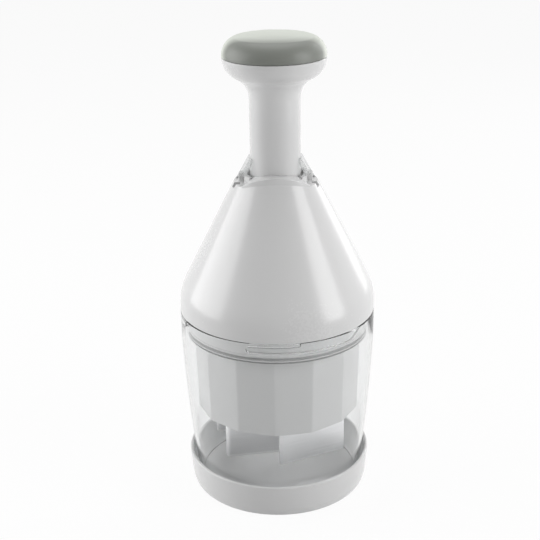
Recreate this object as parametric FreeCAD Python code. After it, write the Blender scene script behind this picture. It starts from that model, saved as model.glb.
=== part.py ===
import FreeCAD, Part
import math
import os

# Plunger food chopper, in millimetres. +Z is up and the front is -Y.
# The origin is the centre of the dish's flat underside.
# The plunger is drawn part pressed, with the blades below the drum.

# Clearances
running_fit = 0.1
twist_fit = 0.12
seat_fit = 0.05
part_gap = 0.3
slot_gap = 0.5

# Outer shell sizes
body_radius = 50.0
container_wall = 1.6
container_draft = 7.0
container_bulge = 0.9
collar_height = 14.6
hood_wall = 2.0
hood_height = 67.1
hood_rim_height = 9.8
hood_neck_land = 4.9
hood_shoulder_round = 26.0
hood_neck_round = 0.6
hood_edge_round = 0.5

# Dish sizes
dish_height = 18.0
dish_room = 2.6
dish_draft = 2.55
dish_wall = 1.8
dish_floor = 1.8
dish_corner_round = 4.0
pad_rise = 0.4

# Blade sizes
blade_edge_z = 19.5
blade_thickness = 0.7
blade_bend_radius = 2.0
blade_outer_inset = 4.2
blade_outer_azimuth = 71.4
blade_inner_inset = 7.8
blade_inner_azimuth = -57.6
blade_end_inset = 10.0
blade_seat_depth = 1.6

# Drum sizes
drum_edge_z = 45.0
drum_sides = 14
drum_first_corner = -2.9
drum_draft = 1.1
drum_wall = 1.6
drum_neck_step = 1.3
drum_neck_height = 3.7
drum_flange_thickness = 1.7
wiper_thickness = 2.0
wiper_inset = 0.5

# Carrier sizes
carrier_room = 1.8
carrier_thickness = 4.0
rivet_radius = 1.5
rivet_head_radius = 2.4
rivet_head_height = 0.7
rivet_circle = 8.5

# Drive shaft sizes
twist_per_mm = 1.0714
shaft_width = 6.0
shaft_flange_radius = 11.8
shaft_flange_thickness = 1.6
journal_radius = 3.0
journal_top_length = 2.0
clip_thickness = 0.8
clip_radius = 5.0
clip_groove_depth = 0.6
shaft_washer_radius = 6.0
shaft_washer_thickness = 1.0

# Bearing plate and nut sizes
plate_thickness = 3.0
nut_radius = 8.0
nut_flange_radius = 11.0
nut_flange_thickness = 1.5
screw_count = 3
screw_inset = 9.3
screw_radius = 1.5
screw_head_radius = 2.8
screw_head_height = 1.6
screw_length = 14.0
boss_radius = 3.4
plate_hole_count = 6
plate_hole_radius = 5.0
plate_hole_circle = 24.0

# Spigot and bayonet sizes
spigot_wall = 1.6
spigot_drop = 7.5
rim_step = 0.9
rim_ledge_width = 2.0
rim_ledge_height = 2.5
drum_ring_width = 3.0
drum_ring_height = 2.3
bayonet_count = 3
lug_width = 1.2
lug_height = 1.9
lug_from = -17.5
lug_to = 12.0
rib_height = 2.8
rib_drop = 1.9
rib_from = -22.0
rib_to = 50.0
rib_ramp = 7.0
rib_stop_span = 3.6

# Spring sizes
spring_wire = 1.4
spring_radius = 14.0
spring_turns = 4.5
washer_thickness = 0.8
washer_inner_margin = 1.5
washer_outer_margin = 2.0
spring_pressed_room = 10.0

# Stem sizes
stem_radius = 12.6
stem_wall = 1.8
stem_show = 41.6
flare_turn = 65.0
foot_flange_thickness = 3.0
foot_plug_height = 5.0

# Grip cap sizes
cap_radius = 25.3
cap_side_height = 9.2
cap_side_bulge = 2.0
cap_crown_inset = 6.5
cap_crown_rise = 1.3
cap_skin = 2.0
cap_seam = 0.3
carrier_cup_wall = 2.0
carrier_cup_depth = 1.5

# Neck sizes
bush_wall = 1.8
bush_cup_wall = 1.9
bush_cup_height = 3.8
bush_mouth_gap = 1.5
visor_half_span = 52.0
visor_inset = 1.5
visor_side_overhang = 0.17
visor_rise = 6.0
visor_side_rise = 0.7
visor_crease_rise = 3.2
collar_wall = 1.6
collar_taper = 0.54
collar_open_half_span = 60.0
collar_foot_half_span = 100.0
collar_foot_height = 4.3
catch_from = 84.0
catch_to = 96.0
notch_from = 70.0
notch_to = 80.0
notch_depth = 2.0

# Levels, from the dish up
pad_top = dish_floor + pad_rise
travel_down = blade_edge_z - pad_top - part_gap
travel_up = drum_edge_z - slot_gap - blade_edge_z
wiper_bottom = drum_edge_z + wiper_inset
wiper_top = wiper_bottom + wiper_thickness
carrier_bottom = wiper_top + travel_down + slot_gap
carrier_top = carrier_bottom + carrier_thickness
plate_bottom = carrier_top + travel_up + 2 * slot_gap
plate_top = plate_bottom + plate_thickness
hood_edge_z = plate_top + rim_step
spigot_bottom = hood_edge_z - spigot_drop
container_top = hood_edge_z - part_gap
container_bottom = dish_floor + part_gap
rib_top = container_top - rib_drop
drum_flange_bottom = spigot_bottom + part_gap
drum_flange_top = drum_flange_bottom + drum_flange_thickness
drum_neck_bottom = drum_flange_bottom - drum_neck_height
foot_bottom = plate_top + travel_down + spring_pressed_room
foot_flange_top = foot_bottom + foot_flange_thickness
foot_top = foot_flange_top + foot_plug_height
hood_top = hood_edge_z + hood_height
bush_bottom = foot_flange_top + travel_up + part_gap
flare_start = hood_top + stem_show

# Radii, from the shell in
container_foot_radius = body_radius - container_draft
container_bore = body_radius - container_wall
lug_radius = container_bore - part_gap
spigot_radius = lug_radius - lug_width
spigot_bore = spigot_radius - spigot_wall
rib_inner_radius = spigot_radius + part_gap
screw_circle = spigot_bore - screw_inset
drum_ring_bore = spigot_radius - drum_ring_width
drum_top_radius = drum_ring_bore - part_gap
drum_edge_radius = drum_top_radius - drum_draft
drum_neck_radius = drum_top_radius - drum_neck_step
drum_flange_radius = spigot_bore - part_gap
drum_facet_wall = drum_wall / math.cos(math.pi / drum_sides)
carrier_radius = (drum_edge_radius - drum_facet_wall) * math.cos(math.pi / drum_sides) - carrier_room
dish_foot_radius = container_foot_radius + dish_room
dish_rim_radius = dish_foot_radius + dish_draft

# Radii, from the stem out
bush_bore = stem_radius + running_fit
bush_radius = bush_bore + bush_wall
bush_cup_bore = stem_radius + bush_mouth_gap
bush_cup_radius = bush_cup_bore + bush_cup_wall
hood_neck_radius = bush_cup_radius + hood_neck_land
hood_taper = (body_radius - hood_neck_radius) / (hood_height - hood_rim_height)
collar_bore = stem_radius + part_gap + running_fit
collar_base_radius = hood_neck_radius - hood_neck_round
visor_reach = hood_neck_radius - visor_inset
visor_half_width = (hood_neck_radius + visor_side_overhang) * math.sin(math.radians(visor_half_span))
foot_bore = journal_radius + seat_fit
washer_bore = spring_radius - washer_inner_margin
foot_flange_radius = spring_radius + washer_outer_margin
cap_crown_radius = cap_radius - cap_crown_inset
cap_height = cap_side_height + cap_crown_rise


def line(start, end):
    return Part.LineSegment(start, end).toShape()


def arc(start, middle, end):
    return Part.Arc(start, middle, end).toShape()


def point(radius, z):
    return FreeCAD.Vector(radius, 0, z)


def turned_edges(edges, angle=360.0):
    wire = Part.Wire(Part.__sortEdges__(edges))
    return Part.Face(wire).revolve(FreeCAD.Vector(), FreeCAD.Vector(0, 0, 1), angle)


# Corners are (radius, z) or (radius, z, rounding).
def corner_edges(corners):
    spots = [point(corner[0], corner[1]) for corner in corners]
    rounds = [corner[2] if len(corner) > 2 else 0.0 for corner in corners]
    count = len(spots)
    arrivals = []
    departures = []
    edges = []
    for i in range(count):
        here = spots[i]
        back = (spots[i - 1] - here).normalize()
        ahead = (spots[(i + 1) % count] - here).normalize()
        if rounds[i] <= 0:
            arrivals.append(here)
            departures.append(here)
            continue
        half = back.getAngle(ahead) / 2
        reach = rounds[i] / math.tan(half)
        middle_way = (back + ahead).normalize()
        middle = here + middle_way * (rounds[i] / math.sin(half) - rounds[i])
        arrivals.append(here + back * reach)
        departures.append(here + ahead * reach)
        edges.append(arc(arrivals[i], middle, departures[i]))
    for i in range(count):
        edges.append(line(departures[i], arrivals[(i + 1) % count]))
    return edges


def turned(corners, angle=360.0):
    return turned_edges(corner_edges(corners), angle)


def ring(inner, outer, bottom, top):
    outside = Part.makeCylinder(outer, top - bottom, FreeCAD.Vector(0, 0, bottom))
    if inner <= 0:
        return outside
    return outside.cut(Part.makeCylinder(inner, top - bottom, FreeCAD.Vector(0, 0, bottom)))


# Azimuths run from the front towards +X, in degrees.
def at_azimuth(shape, azimuth):
    copy = shape.copy()
    copy.rotate(FreeCAD.Vector(), FreeCAD.Vector(0, 0, 1), azimuth - 90.0)
    return copy


def sector(inner, outer, bottom, top, first, last):
    box = [(inner, bottom), (outer, bottom), (outer, top), (inner, top)]
    return at_azimuth(turned(box, last - first), first)


def spot(radius, azimuth, z):
    turn = math.radians(azimuth)
    return FreeCAD.Vector(radius * math.sin(turn), -radius * math.cos(turn), z)


def pillar(radius, position, height):
    return Part.makeCylinder(radius, height, position)


def fused(shapes):
    whole = shapes[0]
    for shape in shapes[1:]:
        whole = whole.fuse(shape)
    return whole.removeSplitter()


def cut_all(shape, cutters):
    for cutter in cutters:
        shape = shape.cut(cutter)
    return shape


def polygon(radius, z, sides, first_azimuth):
    corners = [spot(radius, first_azimuth + 360.0 / sides * i, z) for i in range(sides)]
    return Part.makePolygon(corners + corners[:1])


def facet_cup(low_radius, high_radius, bottom, top):
    low = polygon(low_radius, bottom, drum_sides, drum_first_corner)
    high = polygon(high_radius, top, drum_sides, drum_first_corner)
    return Part.makeLoft([low, high], True, True)


# The strip runs round bend circles: x, y, radius, and +1 for a left turn.
def blade_circles(end_gap):
    end = spot(carrier_radius - blade_end_inset, 0, 0)
    outer = spot(carrier_radius - blade_outer_inset, blade_outer_azimuth, 0)
    inner = spot(carrier_radius - blade_inner_inset, blade_inner_azimuth, 0)
    shift = (outer - end).normalize() * end_gap
    return [
        (end.x - shift.x, end.y - shift.y, 0.0, 0),
        (outer.x, outer.y, blade_bend_radius, 1),
        (inner.x, inner.y, blade_bend_radius, -1),
        (-inner.x, -inner.y, blade_bend_radius, 1),
        (-outer.x, -outer.y, blade_bend_radius, -1),
        (shift.x - end.x, shift.y - end.y, 0.0, 0),
    ]


def tangent_normal(first, second):
    way = FreeCAD.Vector(second[0] - first[0], second[1] - first[1], 0)
    lean = math.acos((second[3] * second[2] - first[3] * first[2]) / way.Length)
    turn = math.atan2(way.y, way.x) + lean
    return FreeCAD.Vector(math.cos(turn), math.sin(turn), 0)


def strip_side(circles, side, z):
    edges = []
    last_end = None
    last_normal = None
    for i in range(len(circles) - 1):
        normal = tangent_normal(circles[i], circles[i + 1])
        ends = []
        for circle in (circles[i], circles[i + 1]):
            reach = side - circle[3] * circle[2]
            ends.append(FreeCAD.Vector(circle[0], circle[1], z) + normal * reach)
        if last_end is not None:
            circle = circles[i]
            middle_way = (last_normal + normal).normalize()
            reach = side - circle[3] * circle[2]
            middle = FreeCAD.Vector(circle[0], circle[1], z) + middle_way * reach
            edges.append(arc(last_end, middle, ends[0]))
        edges.append(line(ends[0], ends[1]))
        last_end = ends[1]
        last_normal = normal
    return edges


def strip(half_width, end_gap, bottom, top):
    circles = blade_circles(end_gap)
    left = strip_side(circles, half_width, bottom)
    right = strip_side(circles, -half_width, bottom)
    start_cap = line(left[0].valueAt(left[0].FirstParameter), right[0].valueAt(right[0].FirstParameter))
    end_cap = line(left[-1].valueAt(left[-1].LastParameter), right[-1].valueAt(right[-1].LastParameter))
    wire = Part.Wire(Part.__sortEdges__(left + right + [start_cap, end_cap]))
    return Part.Face(wire).extrude(FreeCAD.Vector(0, 0, top - bottom))


# A square bar that turns steadily with height.
def twisted_bar(width, bottom, top):
    steps = max(4, int(round((top - bottom) / 4.0)))
    wires = []
    for i in range(steps + 1):
        z = bottom + (top - bottom) * i / steps
        wires.append(polygon(width / math.sqrt(2), z, 4, 45.0 + twist_per_mm * (z - plate_top)))
    return Part.makeLoft(wires, True, False)


def container_radius(z):
    collar_bottom = container_top - collar_height
    share = (z - container_bottom) / (collar_bottom - container_bottom)
    straight = container_foot_radius + (body_radius - container_foot_radius) * share
    return straight + 4 * container_bulge * share * (1 - share)


# White dish that the container stands in
def base_dish():
    shape = turned([
        (0, 0),
        (dish_foot_radius, 0, dish_corner_round * 0.5),
        (dish_foot_radius + (dish_rim_radius - dish_foot_radius) * 0.5, dish_corner_round, dish_corner_round),
        (dish_rim_radius, dish_height, dish_wall * 0.45),
        (dish_rim_radius - dish_wall, dish_height, dish_wall * 0.45),
        (dish_foot_radius - dish_wall * 0.5, dish_floor, dish_wall),
        (0, dish_floor),
    ])
    pad_radius = container_foot_radius - container_wall - 2 * part_gap
    return fused([shape, ring(0, pad_radius, dish_floor * 0.5, pad_top)])


# Clear tapered container, open at both ends
def container_outline(inset):
    collar_bottom = container_top - collar_height
    middle_z = (container_bottom + collar_bottom) / 2
    low = point(container_foot_radius - inset, container_bottom)
    middle = point(container_radius(middle_z) - inset, middle_z)
    high = point(body_radius - inset, collar_bottom)
    top = point(body_radius - inset, container_top)
    return low, middle, high, top


def bayonet_rib(azimuth):
    top = rib_top
    bottom = top - rib_height
    bar = sector(rib_inner_radius, container_bore + seat_fit, bottom, top, rib_from, rib_to)
    drop = sector(rib_inner_radius, container_bore + seat_fit, bottom - lug_height, top,
                  rib_from, rib_from + rib_stop_span)
    ramp_steps = 3
    pieces = [bar, drop]
    for i in range(ramp_steps):
        rise = (container_top - top) * (i + 1) / ramp_steps
        first = rib_to + rib_ramp * i / ramp_steps
        last = rib_to + rib_ramp * (i + 1) / ramp_steps
        pieces.append(sector(rib_inner_radius, container_bore + seat_fit, bottom + rise * 0.8, top + rise,
                             first, last))
    whole = fused(pieces)
    whole.rotate(FreeCAD.Vector(), FreeCAD.Vector(0, 0, 1), azimuth)
    return whole


def clear_container():
    low, middle, high, top = container_outline(0)
    low_in, middle_in, high_in, top_in = container_outline(container_wall)
    shell = turned_edges([
        arc(low, middle, high),
        line(high, top),
        line(top, top_in),
        line(top_in, high_in),
        arc(high_in, middle_in, low_in),
        line(low_in, low),
    ])
    ribs = [bayonet_rib(360.0 / bayonet_count * i) for i in range(bayonet_count)]
    return fused([shell] + ribs)


# White hood: cone, top, spigot, bosses, visor and catches
def hood_cone_radius(z):
    return hood_neck_radius + hood_taper * (hood_top - z)


def hood_cone_z(radius):
    return hood_top - (radius - hood_neck_radius) / hood_taper


def hood_shell():
    slant = hood_wall * math.sqrt(1 + hood_taper ** 2)
    inner_edge = body_radius - hood_wall
    inner_shoulder_z = hood_top - (inner_edge + slant - hood_neck_radius) / hood_taper
    plate_underside = hood_top - hood_wall
    ledge_bore = spigot_bore - rim_ledge_width
    ledge_top = plate_top + rim_ledge_height
    shell = turned([
        (bush_radius + seat_fit, hood_top),
        (hood_neck_radius, hood_top, hood_neck_round),
        (body_radius, hood_cone_z(body_radius), hood_shoulder_round),
        (body_radius, hood_edge_z, hood_edge_round),
        (spigot_radius, hood_edge_z),
        (spigot_radius, spigot_bottom),
        (spigot_bore, spigot_bottom),
        (spigot_bore, plate_top),
        (ledge_bore, plate_top),
        (ledge_bore, ledge_top),
        (inner_edge, ledge_top),
        (inner_edge, inner_shoulder_z, hood_shoulder_round - hood_wall),
        (hood_cone_radius(plate_underside) - slant, plate_underside),
        (bush_radius + seat_fit, plate_underside),
    ])
    lugs = [lug(360.0 / bayonet_count * i) for i in range(bayonet_count)]
    bosses = [screw_boss(i) for i in range(screw_count)]
    catches = [collar_catch(1), collar_catch(-1)]
    whole = fused([shell, neck_visor(), visor_root()] + lugs + bosses + catches)
    bush_seat = ring(0, bush_radius + seat_fit, hood_top - hood_wall, hood_top)
    whole = whole.cut(bush_seat)
    whole = cut_all(whole, [screw_hole(i) for i in range(screw_count)])
    return cut_all(whole, [neck_notch(1), neck_notch(-1)])


def lug(azimuth):
    top = rib_top - rib_height - part_gap
    bottom = top - lug_height + part_gap
    return sector(spigot_radius - spigot_wall / 2, lug_radius, bottom, top,
                  lug_from + azimuth, lug_to + azimuth)


def screw_boss(index):
    azimuth = 360.0 / screw_count * (index + 0.5)
    z_reach = hood_cone_z(screw_circle + hood_wall * 2) - plate_top
    boss = pillar(boss_radius, spot(screw_circle, azimuth, plate_top), z_reach)
    web_outer = hood_cone_radius(plate_top + rim_ledge_height) - hood_wall * 2
    web = Part.makeBox(spigot_bore - 1 - screw_circle, hood_wall, rim_ledge_height,
                       FreeCAD.Vector(screw_circle, -hood_wall / 2, plate_top))
    trim = ring(0, min(web_outer, spigot_bore), plate_top, plate_top + z_reach)
    return boss.fuse(at_azimuth(web, azimuth)).common(trim)


def screw_hole(index):
    azimuth = 360.0 / screw_count * (index + 0.5)
    depth = screw_length - plate_thickness + part_gap
    return pillar(screw_radius + seat_fit, spot(screw_circle, azimuth, plate_top), depth)


# The visor stands round the front of the stem, and its top falls to both sides.
def neck_visor():
    side_y = -visor_half_width / math.tan(math.radians(visor_half_span))
    depth = visor_reach + side_y
    front_bend = (visor_half_width ** 2 + depth ** 2) / (2 * depth)
    fall = visor_rise - visor_side_rise
    arch = (visor_half_width ** 2 + fall ** 2) / (2 * fall)
    low = hood_top - hood_wall / 2
    front = Part.makeCylinder(front_bend, visor_rise * 2, FreeCAD.Vector(0, front_bend - visor_reach, low))
    centre = FreeCAD.Vector(0, -2 * visor_reach, hood_top + visor_rise - arch)
    round_top = Part.makeCylinder(arch, 4 * visor_reach, centre, FreeCAD.Vector(0, 1, 0))
    wall = sector(collar_bore, body_radius / 2, low, hood_top + visor_rise, -visor_half_span, visor_half_span)
    return wall.common(front).common(round_top)


def visor_root():
    side_y = -visor_half_width / math.tan(math.radians(visor_half_span))
    low = hood_top - hood_wall / 2
    high = hood_top + visor_crease_rise
    slope = (visor_crease_rise - visor_side_rise) / (visor_reach + side_y)
    cone = Part.makeCone(hood_cone_radius(low), hood_cone_radius(high), high - low, FreeCAD.Vector(0, 0, low))
    far_y = -body_radius
    near_y = -visor_reach + (high - low) / slope
    far_z = high + slope * (-visor_reach - far_y)
    corners = [(far_y, low), (far_y, far_z), (near_y, low), (far_y, low)]
    side = Part.makePolygon([FreeCAD.Vector(-body_radius, y, z) for y, z in corners])
    under_plane = Part.Face(side).extrude(FreeCAD.Vector(2 * body_radius, 0, 0))
    bore = ring(0, visor_reach * 0.9, low, high)
    return cone.common(under_plane).cut(bore)


def collar_catch(side):
    foot = collar_base_radius - collar_taper * collar_foot_height
    first = min(side * catch_from, side * catch_to)
    last = max(side * catch_from, side * catch_to)
    return sector(foot - collar_wall, foot + collar_wall / 2, hood_top - hood_wall / 2,
                  hood_top + collar_foot_height - seat_fit, first, last)


def neck_notch(side):
    first = min(side * notch_from, side * notch_to)
    last = max(side * notch_from, side * notch_to)
    inner = collar_base_radius - collar_wall - part_gap
    return sector(inner, hood_neck_radius + notch_depth, hood_top - notch_depth, hood_top + 1,
                  first, last)


# Clear neck guard behind and beside the stem
def neck_collar():
    tip = collar_bore + collar_wall / 3
    tip_z = hood_top + (collar_base_radius - tip) / collar_taper
    bore_z = hood_top + (collar_base_radius - collar_wall - collar_bore) / collar_taper
    first = collar_open_half_span
    wall = turned([
        (collar_base_radius - collar_wall, hood_top),
        (collar_base_radius, hood_top),
        (tip, tip_z),
        (collar_bore, tip_z),
        (collar_bore, bore_z),
    ], 360.0 - 2 * first)
    wall = at_azimuth(wall, first)
    window_top = hood_top + collar_foot_height
    outer = body_radius
    right = sector(1, outer, hood_top - 1, window_top, first - 1, collar_foot_half_span)
    left = sector(1, outer, hood_top - 1, window_top, -collar_foot_half_span, 1 - first)
    return cut_all(wall, [right, left])


# White bush that the stem slides in
def neck_bush():
    tube = ring(bush_bore, bush_radius, bush_bottom, hood_top)
    first = visor_half_span + 2
    lip = sector(bush_bore, bush_cup_radius, hood_top, hood_top + bush_wall / 2, first, 360.0 - first)
    cup = sector(bush_cup_bore, bush_cup_radius, hood_top, hood_top + bush_cup_height, first, 360.0 - first)
    return fused([tube, lip, cup])


# Plate in the hood that carries the nut
def bearing_plate():
    plate = ring(nut_radius + seat_fit, spigot_bore - seat_fit, plate_bottom, plate_top)
    cutters = []
    for i in range(screw_count):
        azimuth = 360.0 / screw_count * (i + 0.5)
        place = spot(screw_circle, azimuth, plate_bottom)
        cutters.append(pillar(screw_radius + seat_fit, place, plate_thickness))
        cutters.append(pillar(screw_head_radius + seat_fit, place, screw_head_height))
    for i in range(plate_hole_count):
        place = spot(plate_hole_circle, 360.0 / plate_hole_count * i, plate_bottom)
        cutters.append(pillar(plate_hole_radius, place, plate_thickness))
    return cut_all(plate, cutters)


def plate_screw(index):
    azimuth = 360.0 / screw_count * (index + 0.5)
    place = spot(screw_circle, azimuth, plate_bottom)
    head = pillar(screw_head_radius, place, screw_head_height)
    shank = pillar(screw_radius, place, screw_length)
    drive = pillar(screw_radius * 0.8, place, screw_head_height * 0.6)
    return fused([head, shank]).cut(drive)


# Nut whose twisted hole turns the shaft as it passes
def twist_nut():
    body = ring(0, nut_radius, plate_bottom, plate_top)
    flange = ring(0, nut_flange_radius, plate_top, plate_top + nut_flange_thickness)
    hole = twisted_bar(shaft_width + 2 * twist_fit, plate_bottom - 1, plate_top + nut_flange_thickness + 1)
    return fused([body, flange]).cut(hole)


# Ring under the spigot that the drum hangs on
def drum_ring():
    return ring(drum_ring_bore, spigot_radius, spigot_bottom - drum_ring_height, spigot_bottom)


def spring_washer(bottom):
    return ring(washer_bore, foot_flange_radius, bottom, bottom + washer_thickness)


# An arc that leaves its start along a given way and ends at a given point
def arc_along(start, way, end):
    chord = end - start
    rise = chord.Length / 2 * math.tan(chord.getAngle(way) / 2)
    side = way - chord * (way.dot(chord) / chord.dot(chord))
    return arc(start, (start + end) * 0.5 + side.normalize() * rise, end)


# Two arcs that join two points and leave them along their ways
def arc_pair(start, start_way, end, end_way):
    chord = end - start
    both = start_way + end_way
    spread = 2 * (1 - start_way.dot(end_way))
    across = chord.dot(both)
    reach = (math.sqrt(across ** 2 + spread * chord.dot(chord)) - across) / spread
    middle = (start + start_way * reach + end - end_way * reach) * 0.5
    return [arc_along(start, start_way, middle), arc_along(end, end_way * -1, middle)]


def return_spring():
    bottom = plate_top + washer_thickness + spring_wire / 2 + seat_fit
    top = foot_bottom - washer_thickness - spring_wire / 2 - seat_fit
    climb = (top - bottom) / (2 * math.pi * spring_radius * spring_turns)
    steps = int(round(spring_turns * 4))
    spots = []
    ways = []
    for i in range(steps + 1):
        azimuth = 360.0 * spring_turns * i / steps
        spots.append(spot(spring_radius, azimuth, bottom + (top - bottom) * i / steps))
        ways.append((spot(1, azimuth + 90.0, 0) + FreeCAD.Vector(0, 0, climb)).normalize())
    edges = []
    for i in range(steps):
        edges += arc_pair(spots[i], ways[i], spots[i + 1], ways[i + 1])
    profile = Part.makeCircle(spring_wire / 2, spots[0], ways[0])
    return Part.Wire(Part.__sortEdges__(edges)).makePipeShell([Part.Wire(profile)], True, False)


# White stem with its flared head
def flare_numbers():
    turn = math.radians(flare_turn)
    bend = (cap_radius - stem_radius) / (2 * (1 - math.cos(turn)))
    top = flare_start + 2 * bend * math.sin(turn)
    return turn, bend, top


def flare_arcs(inset):
    turn, bend, top = flare_numbers()
    low_centre = FreeCAD.Vector(stem_radius + bend, 0, flare_start)
    high_centre = FreeCAD.Vector(cap_radius - bend, 0, top)
    low_bend = bend + inset
    high_bend = bend - inset
    low = []
    high = []
    for share in (0.0, 0.5, 1.0):
        lean = turn * share
        low.append(low_centre + FreeCAD.Vector(-math.cos(lean), 0, math.sin(lean)) * low_bend)
        lean = turn * (1 - share)
        high.append(high_centre + FreeCAD.Vector(math.cos(lean), 0, -math.sin(lean)) * high_bend)
    return low, high


def plunger_stem():
    low, high = flare_arcs(0)
    low_in, high_in = flare_arcs(stem_wall)
    foot = point(stem_radius, foot_flange_top)
    foot_in = point(stem_radius - stem_wall, foot_flange_top)
    return turned_edges([
        line(foot, low[0]),
        arc(low[0], low[1], low[2]),
        arc(high[0], high[1], high[2]),
        line(high[2], high_in[2]),
        arc(high_in[0], high_in[1], high_in[2]),
        arc(low_in[0], low_in[1], low_in[2]),
        line(low_in[0], foot_in),
        line(foot_in, foot),
    ])


def stem_foot():
    plug = stem_radius - stem_wall - seat_fit
    return turned([
        (foot_bore, foot_bottom),
        (foot_flange_radius, foot_bottom),
        (foot_flange_radius, foot_flange_top),
        (plug, foot_flange_top),
        (plug, foot_top),
        (foot_bore, foot_top),
    ])


def shaft_washer():
    bottom = foot_bottom - shaft_washer_thickness
    return ring(journal_radius + seat_fit, shaft_washer_radius, bottom, foot_bottom)


# Grey soft cap on its white carrier
def dome_edges(base, side_height, crown, height, radius, bulge):
    foot = point(radius, base)
    shoulder = point(crown, base + side_height)
    centre = (foot + shoulder) * 0.5
    out = FreeCAD.Vector(side_height, 0, radius - crown).normalize()
    side_middle = centre + out * bulge
    rise = height - side_height
    dome = (crown ** 2 + rise ** 2) / (2 * rise)
    half = crown / 2
    dome_middle = point(half, base + height - (dome - math.sqrt(dome ** 2 - half ** 2)))
    peak = point(0, base + height)
    return foot, shoulder, peak, [arc(foot, side_middle, shoulder), arc(shoulder, dome_middle, peak)]


def dome(base, shrink, extra_low):
    foot, shoulder, peak, edges = dome_edges(base, cap_side_height - shrink, cap_crown_radius - shrink / 2,
                                             cap_height - shrink, cap_radius - shrink, cap_side_bulge)
    low = point(foot.x, base - extra_low)
    axis_low = point(0, base - extra_low)
    sides = [line(axis_low, low)]
    if extra_low > 0:
        sides.append(line(low, foot))
    return turned_edges(edges + sides + [line(peak, axis_low)])


def grip_cap():
    base = flare_numbers()[2] + cap_seam
    return dome(base, 0, 0).cut(dome(base, cap_skin, 0))


def cap_carrier():
    base = flare_numbers()[2] + cap_seam
    outside = dome(base, cap_skin + seat_fit, carrier_cup_depth)
    inside = dome(base, cap_skin + carrier_cup_wall, carrier_cup_depth + 1)
    return outside.cut(inside)


# Shaft with a flange below, a twisted square and a round journal
def drive_shaft():
    flange = ring(0, shaft_flange_radius, carrier_top - shaft_flange_thickness, carrier_top)
    shoulder = foot_bottom - shaft_washer_thickness - seat_fit
    bar = twisted_bar(shaft_width, carrier_top, shoulder)
    journal_top = foot_top + running_fit + clip_thickness + journal_top_length
    journal = ring(0, journal_radius, shoulder, journal_top)
    groove = ring(journal_radius - clip_groove_depth, journal_radius + 1, foot_top + running_fit,
                  foot_top + running_fit + clip_thickness)
    shaft = fused([flange, bar, journal]).cut(groove)
    return cut_all(shaft, [rivet_hole(side) for side in (1, -1)])


def shaft_clip():
    bottom = foot_top + running_fit
    clip = ring(journal_radius - clip_groove_depth, clip_radius, bottom, bottom + clip_thickness)
    mouth_width = journal_radius
    mouth = Part.makeBox(clip_radius * 2, mouth_width, clip_thickness * 3,
                         FreeCAD.Vector(0, -mouth_width / 2, bottom - clip_thickness))
    return clip.cut(mouth)


# Rivets stand square to the middle run of the blade.
def rivet_place(side, z):
    return spot(side * rivet_circle, blade_inner_azimuth + 90.0, z)


def rivet_hole(side):
    return pillar(rivet_radius + seat_fit, rivet_place(side, carrier_bottom), carrier_thickness)


def carrier_rivet(side):
    shank = pillar(rivet_radius, rivet_place(side, carrier_bottom - slot_gap / 2), carrier_thickness + slot_gap / 2)
    head = pillar(rivet_head_radius, rivet_place(side, carrier_top), rivet_head_height)
    return fused([shank, head])


def blade_carrier():
    disc = ring(0, carrier_radius, carrier_bottom, carrier_top)
    groove = strip(blade_thickness / 2 + seat_fit, seat_fit, carrier_bottom, carrier_bottom + blade_seat_depth + seat_fit)
    recess = ring(0, shaft_flange_radius + seat_fit, carrier_top - shaft_flange_thickness, carrier_top)
    return cut_all(disc, [groove, recess] + [rivet_hole(side) for side in (1, -1)])


def zigzag_blade():
    return strip(blade_thickness / 2, 0, blade_edge_z, carrier_bottom + blade_seat_depth)


# Faceted drum that turns with the blade
def wiper_drum():
    outside = facet_cup(drum_edge_radius, drum_top_radius, drum_edge_z, drum_neck_bottom)
    inside = facet_cup(drum_edge_radius - drum_facet_wall, drum_top_radius - drum_facet_wall, drum_edge_z,
                       drum_neck_bottom)
    neck = ring(drum_neck_radius - drum_wall, drum_neck_radius, drum_neck_bottom, drum_flange_top)
    flange = ring(drum_neck_radius - drum_wall, drum_flange_radius, drum_flange_bottom, drum_flange_top)
    joint = ring(drum_neck_radius - drum_wall, drum_neck_radius, drum_neck_bottom - drum_wall, drum_neck_bottom)
    return fused([outside.cut(inside), joint, neck, flange])


def wiper_plate():
    rise = drum_draft / (drum_neck_bottom - drum_edge_z)
    low = drum_edge_radius - drum_facet_wall - seat_fit + rise * wiper_inset
    high = low + rise * wiper_thickness
    plate = facet_cup(low, high, wiper_bottom, wiper_top)
    slot = strip(blade_thickness / 2 + slot_gap, slot_gap, wiper_bottom - 1, wiper_top + 1)
    return plate.cut(slot)


nodes = {
    "base_dish": base_dish(),
    "clear_container": clear_container(),
    "hood_shell": hood_shell(),
    "neck_collar": neck_collar(),
    "neck_bush": neck_bush(),
    "bearing_plate": bearing_plate(),
    "twist_nut": twist_nut(),
    "drum_ring": drum_ring(),
    "lower_spring_washer": spring_washer(plate_top),
    "upper_spring_washer": spring_washer(foot_bottom - washer_thickness),
    "return_spring": return_spring(),
    "plunger_stem": plunger_stem(),
    "stem_foot": stem_foot(),
    "shaft_washer": shaft_washer(),
    "grip_cap": grip_cap(),
    "cap_carrier": cap_carrier(),
    "drive_shaft": drive_shaft(),
    "shaft_clip": shaft_clip(),
    "blade_carrier": blade_carrier(),
    "zigzag_blade": zigzag_blade(),
    "wiper_drum": wiper_drum(),
    "wiper_plate": wiper_plate(),
}
for index in range(screw_count):
    nodes["plate_screw_%d" % (index + 1)] = plate_screw(index)
for index, side in enumerate((1, -1)):
    nodes["carrier_rivet_%d" % (index + 1)] = carrier_rivet(side)

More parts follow.
